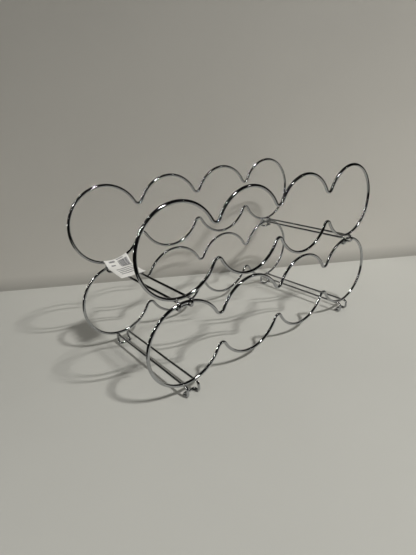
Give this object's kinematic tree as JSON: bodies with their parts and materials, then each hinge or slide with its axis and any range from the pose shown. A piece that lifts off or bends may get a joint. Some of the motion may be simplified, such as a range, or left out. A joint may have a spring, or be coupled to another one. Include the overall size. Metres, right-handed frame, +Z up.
{
  "type": "stackable wire bottle rack",
  "caption": "Stackable chrome wire bottle rack: lobed front and back frames on rolled-end cross wires, with a second tier clipped on top that lifts off.",
  "frame": {"origin": "on the floor, under the middle of the rack, at the height of the feet's undersides", "axes": "+X along the row of bottles, +Y from the front frame to the back frame, +Z up"},
  "size_m": [0.4046, 0.1736, 0.2271],
  "materials": {
    "chrome_wire": "bright polished chrome plating on bent steel wire",
    "chrome_weld": "chrome plating over a slightly uneven resistance weld",
    "label_paper": "matt white coated paper with plain grey printed blocks"
  },
  "bodies": {
    "lower_rack": {"lower_front_frame": "chrome_wire", "lower_back_frame": "chrome_wire", "lower_left_cross_loop": "chrome_wire", "lower_right_cross_loop": "chrome_wire", "lower_front_left_outer_weld": "chrome_weld", "lower_front_left_inner_weld": "chrome_weld", "lower_front_right_outer_weld": "chrome_weld", "lower_front_right_inner_weld": "chrome_weld", "lower_back_left_outer_weld": "chrome_weld", "lower_back_left_inner_weld": "chrome_weld", "lower_back_right_outer_weld": "chrome_weld", "lower_back_right_inner_weld": "chrome_weld"},
    "upper_rack": {"upper_front_frame": "chrome_wire", "upper_back_frame": "chrome_wire", "upper_left_cross_loop": "chrome_wire", "upper_right_cross_loop": "chrome_wire", "upper_front_left_outer_weld": "chrome_weld", "upper_front_left_inner_weld": "chrome_weld", "upper_front_right_outer_weld": "chrome_weld", "upper_front_right_inner_weld": "chrome_weld", "upper_back_left_outer_weld": "chrome_weld", "upper_back_left_inner_weld": "chrome_weld", "upper_back_right_outer_weld": "chrome_weld", "upper_back_right_inner_weld": "chrome_weld", "price_label": "label_paper"}
  },
  "joints": [
    {"name": "upper_rack_lift", "type": "slide", "parent": "lower_rack", "child": "upper_rack", "axis": [0, 0, 1], "range_m": [0, 0.15]}
  ]
}
